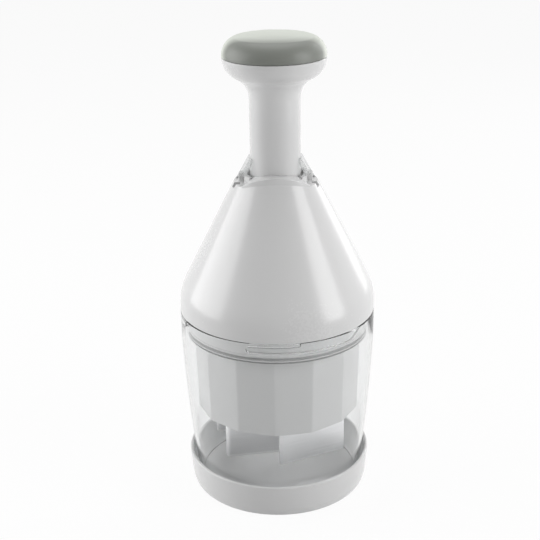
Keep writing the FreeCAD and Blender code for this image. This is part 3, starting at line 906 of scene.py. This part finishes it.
class CHOPPER_OT_container(bpy.types.Operator):
    """Make the clear container with its bayonet ribs"""

    bl_idname = "chopper.container"
    bl_label = "Container"

    def execute(self, context):
        sizes = context.scene.chopper_sizes
        wall = sizes.container_wall
        lip_round = 0.0004
        top = high("clear_container").z
        radius = high("clear_container").x
        outside = container_side(sizes, 0)
        inside = container_side(sizes, wall)
        outside[0].x -= sizes.edge_round
        inside[0].x += sizes.edge_round
        lip = rounded([outside[-1], (radius, top, lip_round), (radius - wall, top, lip_round),
                       inside[-1]], False)
        shell = turned("container", outside[:-1] + lip + inside[-2::-1])
        for i in range(3):
            carve(shell, self.make_rib(sizes, 120.0 * i), "UNION")
        finish_piece(shell, "container", "clear", ["clear_container"])
        return {"FINISHED"}

    # A rib has a round start, a lower first part and a ramp at its end.
    def make_rib(self, sizes, turn):
        inner = sizes.spigot_radius + GAP
        outer = high("clear_container").x - sizes.container_wall * 0.6
        bottom = rib_bottom()
        top = high("clear_container").z - RIB_DROP
        first = RIB_FIRST + turn
        last = RAMP_LAST + turn
        rib = rib_sector("rib", inner, outer, bottom, top, first, last)
        ramp_up(rib, bottom + NEAR, RAMP_FIRST + turn, last, RAMP_RISE)
        move_span(rib, (RIB_FIRST + STEP_AZIMUTH) / 2 + turn, (STEP_AZIMUTH - RIB_FIRST) / 2,
                  lambda z: z > top - NEAR, -STEP_DROP)
        half = (RIB_HEIGHT - STEP_DROP) / 2
        round_start(rib, first, bottom + half, half, outer)
        soften_edges(rib, sizes.edge_round, 2, 60.0)
        return rib


class CHOPPER_OT_drum(bpy.types.Operator):
    """Make the white faceted drum"""

    bl_idname = "chopper.drum"
    bl_label = "Drum"

    sides = 14
    first_corner = -2.9
    low_radius = 0.0425
    high_radius = 0.0436
    neck_inset = 0.0013
    neck_height = 0.0037
    flange_height = 0.0017

    def execute(self, context):
        sizes = context.scene.chopper_sizes
        edge_z = low("wiper_drum").z
        flange_low = high("wiper_drum").z - self.flange_height
        neck_z = flange_low - self.neck_height
        self.make_facets(sizes, edge_z, neck_z)
        self.make_rim(sizes, neck_z, flange_low)
        return {"FINISHED"}

    def make_facets(self, sizes, bottom, top):
        drum = cylinder("drum", self.sides, self.low_radius, top - bottom,
                        (0, 0, (top + bottom) / 2), (0, 0, math.radians(self.first_corner)),
                        "NOTHING")
        apply_place()
        pick_points(drum, lambda place: place.z > top - NEAR)
        spread = self.high_radius / self.low_radius
        bpy.ops.transform.resize(value=(spread, spread, 1), center_override=(0, 0, top))
        leave()
        modify(drum, "BEVEL", width=sizes.drum_corner_round, segments=4, limit_method="ANGLE",
               angle_limit=math.radians(15))
        modify(drum, "SOLIDIFY", thickness=sizes.drum_wall, offset=-1.0, use_even_offset=True)
        apply_all(drum)
        soften_edges(drum, sizes.edge_round * 0.8, 2, 50.0)
        finish_piece(drum, "drum", "inner", ["wiper_drum"])

    # A narrower neck above the facets carries the flange that hangs on the ring.
    def make_rim(self, sizes, neck_z, flange_low):
        neck = self.high_radius - self.neck_inset
        bore = neck - sizes.drum_wall
        flange = high("wiper_drum").x
        flange_top = high("wiper_drum").z
        rim = turned("drum_rim", rounded([
            (bore, neck_z - sizes.drum_wall),
            (neck, neck_z - sizes.drum_wall),
            (neck, flange_low),
            (flange, flange_low, sizes.edge_round),
            (flange, flange_top, sizes.edge_round),
            (bore, flange_top, sizes.edge_round),
        ]))
        finish_piece(rim, "drum", "inner")


class CHOPPER_OT_ring(bpy.types.Operator):
    """Make the ring that the drum hangs on, with its shadow groove"""

    bl_idname = "chopper.ring"
    bl_label = "Drum ring"

    def execute(self, context):
        sizes = context.scene.chopper_sizes
        sharp = 0.0001
        top = high("drum_ring").z
        bottom = low("drum_ring").z - 0.0021
        outer = high("drum_ring").x
        bore = outer - 0.0030
        deep = outer - 0.0025
        wide = sizes.groove_height / 2
        thin = wide / 2
        upper = top - 0.0019
        lower = bottom + 0.0007
        ring = turned("hanging_ring", rounded([
            (bore, bottom, sizes.edge_round),
            (outer, bottom, sharp),
            (outer, lower - thin),
            (deep, lower - thin),
            (deep, lower + thin),
            (outer, lower + thin, sharp),
            (outer, upper - wide, sharp),
            (deep, upper - wide),
            (deep, upper + wide),
            (outer, upper + wide, sharp),
            (outer, top),
            (bore, top),
        ]))
        finish_piece(ring, "hood", "inner", ["drum_ring"])
        return {"FINISHED"}


# The blade's middle line runs round fold circles: a centre, a radius, and +1 for a left turn.
def blade_path(sizes):
    reach = high("blade_carrier").x
    end = spot(reach - 0.010, 0.0, 0).to_2d()
    outer = spot(reach - 0.0042, 71.4, 0).to_2d()
    inner = spot(reach - 0.0078, -57.6, 0).to_2d()
    fold = sizes.fold_radius
    circles = [(end, 0, 0), (outer, fold, 1), (inner, fold, -1),
               (-inner, fold, 1), (-outer, fold, -1), (-end, 0, 0)]
    points = []
    last = None
    for here, there in zip(circles, circles[1:]):
        way = there[0] - here[0]
        lean = math.acos((there[2] * there[1] - here[2] * here[1]) / way.length)
        turn = math.atan2(way.y, way.x) + lean
        normal = Vector((math.cos(turn), math.sin(turn)))
        spoke = normal * (-here[2] * here[1])
        if last is not None:
            points += swept(here[0], last, spoke)
        else:
            points.append(here[0] + spoke)
        last = normal * (-there[2] * there[1])
    points.append(circles[-1][0])
    return points


class CHOPPER_OT_blade(bpy.types.Operator):
    """Make the zigzag blade with its ground edge"""

    bl_idname = "chopper.blade"
    bl_label = "Blade"

    edge_share = 0.2

    def execute(self, context):
        sizes = context.scene.chopper_sizes
        edge_z = low("zigzag_blade").z
        top = high("zigzag_blade").z
        blade = drawn("blade", [Vector((point.x, point.y, edge_z)) for point in blade_path(sizes)])
        select_all()
        for rise in (sizes.ground_height, top - edge_z - sizes.ground_height):
            extrude((0, 0, rise))
        leave()
        above = [vertex.index for vertex in blade.data.vertices if vertex.co.z > edge_z + NEAR]
        blade.vertex_groups.new(name="thick").add(above, 1.0, "REPLACE")
        modify(blade, "SOLIDIFY", thickness=sizes.blade_thickness, offset=0.0, use_even_offset=True,
               vertex_group="thick", thickness_vertex_group=self.edge_share)
        apply_all(blade)
        edit()
        face_outwards()
        leave()
        finish_piece(blade, "blade_unit", "blade", ["zigzag_blade"])
        return {"FINISHED"}


class CHOPPER_OT_dish(bpy.types.Operator):
    """Make the white dish"""

    bl_idname = "chopper.dish"
    bl_label = "Dish"

    def execute(self, context):
        sizes = context.scene.chopper_sizes
        rim = high("base_dish").x
        top = high("base_dish").z
        foot = sizes.dish_foot_radius
        wall = sizes.dish_wall
        foot_round = 0.002
        bend_z = 0.004
        floor = 0.0018
        pad_top = floor + 0.0004
        pad = sizes.container_foot_radius - sizes.container_wall - 0.0006
        dish = turned("dish", rounded([
            (0, 0),
            (foot, 0, foot_round),
            (foot + (rim - foot) * 0.5, bend_z, bend_z),
            (rim, top, wall * 0.45),
            (rim - wall, top, wall * 0.45),
            (foot - wall * 0.5, floor, wall),
            (pad, floor, FINE_ROUND),
            (pad, pad_top, FINE_ROUND),
            (0, pad_top),
        ], False))
        finish_piece(dish, "dish", "dish", ["base_dish"])
        return {"FINISHED"}


class CHOPPER_OT_stem(bpy.types.Operator):
    """Make the white stem with its flared head"""

    bl_idname = "chopper.stem"
    bl_label = "Stem"

    flare_turn = 65.0
    stem_radius = 0.0126

    # The flare bends out round one centre and back up round another.
    def flare(self, inset):
        cap_radius = high("grip_cap").x
        turn = math.radians(self.flare_turn)
        bend = (cap_radius - self.stem_radius) / (2 * (1 - math.cos(turn)))
        top = high("plunger_stem").z
        start = top - 2 * bend * math.sin(turn)
        low_centre = Vector((self.stem_radius + bend, start))
        high_centre = Vector((cap_radius - bend, top))
        steps = 16
        points = []
        for i in range(steps + 1):
            lean = turn * i / steps
            points.append(low_centre + Vector((-math.cos(lean), math.sin(lean))) * (bend + inset))
        for i in range(1, steps + 1):
            lean = turn * (1 - i / steps)
            points.append(high_centre + Vector((math.cos(lean), -math.sin(lean))) * (bend - inset))
        return points

    def execute(self, context):
        sizes = context.scene.chopper_sizes
        foot_z = low("plunger_stem").z
        bore = self.stem_radius - sizes.stem_wall
        outside = [Vector((self.stem_radius, foot_z))] + self.flare(0)
        inside = [Vector((bore, foot_z))] + self.flare(sizes.stem_wall)
        outside[-1].y -= FINE_ROUND
        rim = outside[-1] + Vector((-FINE_ROUND, FINE_ROUND))
        stem = turned("stem", outside + [rim] + inside[::-1])
        finish_piece(stem, "plunger", "shell", ["plunger_stem"])
        return {"FINISHED"}


class CHOPPER_OT_cap(bpy.types.Operator):
    """Make the soft grey palm cap"""

    bl_idname = "chopper.cap"
    bl_label = "Palm cap"

    side_height = 0.0092
    side_bulge = 0.0020
    crown = 0.0189

    # The side bows out from the foot to the crown, and a flat dome closes the top.
    def dome(self, shrink):
        base = low("grip_cap").z
        height = high("grip_cap").z - base - shrink
        radius = high("grip_cap").x - shrink
        side = self.side_height - shrink
        crown = self.crown - shrink / 2
        foot = Vector((radius, base))
        shoulder = Vector((crown, base + side))
        bend = arc_radius((foot - shoulder).length / 2, self.side_bulge)
        out = Vector((side, radius - crown)).normalized()
        centre = (foot + shoulder) / 2 + out * (self.side_bulge - bend)
        points = swept(centre, foot - centre, shoulder - centre)
        dome = arc_radius(crown, height - side)
        top_centre = Vector((0, base + height - dome))
        points += swept(top_centre, shoulder - top_centre, Vector((0, dome)))[1:]
        points[-1].x = 0.0
        return points

    def execute(self, context):
        sizes = context.scene.chopper_sizes
        cap = turned("palm_cap", self.dome(sizes.cap_skin)[::-1] + self.dome(0))
        finish_piece(cap, "plunger", "grip", ["grip_cap"])
        return {"FINISHED"}


class CHOPPER_OT_spring(bpy.types.Operator):
    """Make the return spring that sits between the hood and the plunger"""

    bl_idname = "chopper.spring"
    bl_label = "Return spring"

    turns = 4.5
    steps_per_turn = 48
    wire_radius = 0.0007
    wire_sides = 20

    def execute(self, context):
        wire = self.wire_radius
        radius = high("return_spring").y - wire
        bottom = low("return_spring").z + wire
        top = high("return_spring").z - wire
        deselect()
        bpy.ops.mesh.primitive_circle_add(
            vertices=self.wire_sides, radius=wire, location=(0, -radius, bottom),
            rotation=(0, math.pi / 2, 0))
        spring = bpy.context.object
        spring.name = "coil_spring"
        apply_place()
        steps = int(self.steps_per_turn * self.turns)
        modify(spring, "SCREW", axis="Z", angle=2 * math.pi * self.turns, screw_offset=top - bottom,
               steps=steps, render_steps=steps)
        apply_all(spring)
        for centre in (spot(radius, 0.0, bottom), spot(radius, 360.0 * self.turns, top)):
            across = centre.to_2d().orthogonal().normalized()
            pick_points(spring, lambda place: abs(place.to_2d().dot(across)) < SAME
                        and (place - centre).length < wire * 1.01)
            bpy.ops.mesh.edge_face_add()
        face_outwards()
        leave()
        bpy.ops.object.shade_smooth_by_angle(angle=math.radians(SMOOTH_DEGREES))
        spring.data.materials.append(finishes["steel"])
        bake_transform(spring)
        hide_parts("return_spring")
        return {"FINISHED"}


class CHOPPER_OT_kept(bpy.types.Operator):
    """Give the pieces that are kept from the frame their finishes"""

    bl_idname = "chopper.kept"
    bl_label = "Kept pieces"

    kept = {
        "inner": ["neck_bush", "bearing_plate", "twist_nut", "stem_foot", "cap_carrier",
                  "blade_carrier", "wiper_plate"],
        "steel": ["lower_spring_washer", "upper_spring_washer", "plate_screw_1", "plate_screw_2",
                  "plate_screw_3", "shaft_washer", "drive_shaft", "shaft_clip", "carrier_rivet_1",
                  "carrier_rivet_2"],
    }

    def execute(self, context):
        for finish, nodes in self.kept.items():
            for node in nodes:
                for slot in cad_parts[node].material_slots:
                    slot.material = finishes[finish]
        return {"FINISHED"}


class CHOPPER_OT_stage(bpy.types.Operator):
    """Set the pale floor, the soft lights and the camera"""

    bl_idname = "chopper.stage"
    bl_label = "Stage"

    # The kinds of rays that see a white background
    seen = ("Camera", "Glossy", "Transmission")

    def execute(self, context):
        self.make_floor()
        self.make_world(context.scene)
        self.make_lights()
        self.make_camera(context.scene)
        context.scene.view_settings.view_transform = "Standard"
        return {"FINISHED"}

    def make_floor(self):
        deselect()
        bpy.ops.mesh.primitive_plane_add(size=6.0, location=(0, 0, -0.00005))
        floor = bpy.context.object
        floor.name = "floor"
        finish = Finish("pale floor")
        seen = finish.rays(*self.seen)
        matt = finish.surface({
            "Base Color": finish.mixed(seen, grey(0.74), grey(0.96)),
            "Roughness": 0.68 + finish.noise(3.0) * 0.06,
            "Specular IOR Level": 0.0,
        })
        white = finish.add("ShaderNodeEmission", inputs={"Color": grey(1.0), "Strength": 1.0})
        floor.data.materials.append(finish.finished(finish.blended(seen * 0.94, matt, white)))

    def make_world(self, scene):
        finish = Finish("studio", "worlds")
        strength = 0.16 + finish.rays(*self.seen) * 0.84
        back = finish.add("ShaderNodeBackground", inputs={"Color": grey(1.0), "Strength": strength})
        scene.world = finish.finished(back, "ShaderNodeOutputWorld")

    def add_lamp(self, name, place, size, watts):
        deselect()
        way = Vector((0, 0, 0.12)) - Vector(place)
        bpy.ops.object.light_add(type="AREA", location=place,
                                 rotation=way.to_track_quat("-Z", "Y").to_euler())
        lamp = bpy.context.object
        lamp.name = name
        lamp.data.shape = "RECTANGLE"
        lamp.data.size, lamp.data.size_y = size
        lamp.data.energy = watts

    def make_lights(self):
        self.add_lamp("right box", (0.92, -0.39, 0.36), (0.50, 1.10), 6.6)
        self.add_lamp("left box", (-1.0, 0.05, 0.32), (1.00, 1.00), 8.7)
        self.add_lamp("rim box", (0.70, 0.72, 0.40), (0.40, 0.90), 2.2)
        self.add_lamp("top box", (0, 0.20, 1.10), (0.8, 0.8), 4.0)

    def make_camera(self, scene):
        deselect()
        turn = (math.radians(90.0 - CAMERA_DOWN), 0, 0)
        bpy.ops.object.camera_add(location=CAMERA_PLACE, rotation=turn)
        camera = bpy.context.object
        camera.data.sensor_width = SENSOR_WIDTH
        camera.data.lens = SENSOR_WIDTH * CAMERA_FOCAL_PIXELS / PHOTO_SIDE
        camera.data.clip_start = 0.01
        camera.rotation_euler.rotate_axis("Z", math.radians(-CAMERA_ROLL))
        scene.camera = camera


OPERATORS = [
    CHOPPER_OT_cap,
    CHOPPER_OT_stem,
    CHOPPER_OT_hood,
    CHOPPER_OT_neck,
    CHOPPER_OT_container,
    CHOPPER_OT_drum,
    CHOPPER_OT_ring,
    CHOPPER_OT_blade,
    CHOPPER_OT_dish,
    CHOPPER_OT_spring,
    CHOPPER_OT_kept,
    CHOPPER_OT_stage,
]


class CHOPPER_PT_panel(bpy.types.Panel):
    """Panel that lists the chopper's pieces"""

    bl_idname = "CHOPPER_PT_panel"
    bl_label = "Chopper"
    bl_space_type = "VIEW_3D"
    bl_region_type = "UI"
    bl_category = "Chopper"

    def draw(self, context):
        for operator in OPERATORS:
            self.layout.operator(operator.bl_idname)
        for group in (context.scene.chopper_sizes, context.scene.chopper_colours):
            for name in group.bl_rna.properties.keys():
                if name not in ("rna_type", "name"):
                    self.layout.prop(group, name)


CLASSES = [ChopperSizes, ChopperColours] + OPERATORS + [CHOPPER_PT_panel]


def register():
    for cls in CLASSES:
        bpy.utils.register_class(cls)
    bpy.types.Scene.chopper_sizes = bpy.props.PointerProperty(type=ChopperSizes)
    bpy.types.Scene.chopper_colours = bpy.props.PointerProperty(type=ChopperColours)


def unregister():
    del bpy.types.Scene.chopper_colours
    del bpy.types.Scene.chopper_sizes
    for cls in reversed(CLASSES):
        bpy.utils.unregister_class(cls)


def main():
    register()
    scene = bpy.context.scene
    finishes.update(make_finishes(scene.chopper_sizes, scene.chopper_colours))
    for operator in OPERATORS:
        group, name = operator.bl_idname.split(".")
        getattr(getattr(bpy.ops, group), name)()


if __name__ == "__main__":
    main()
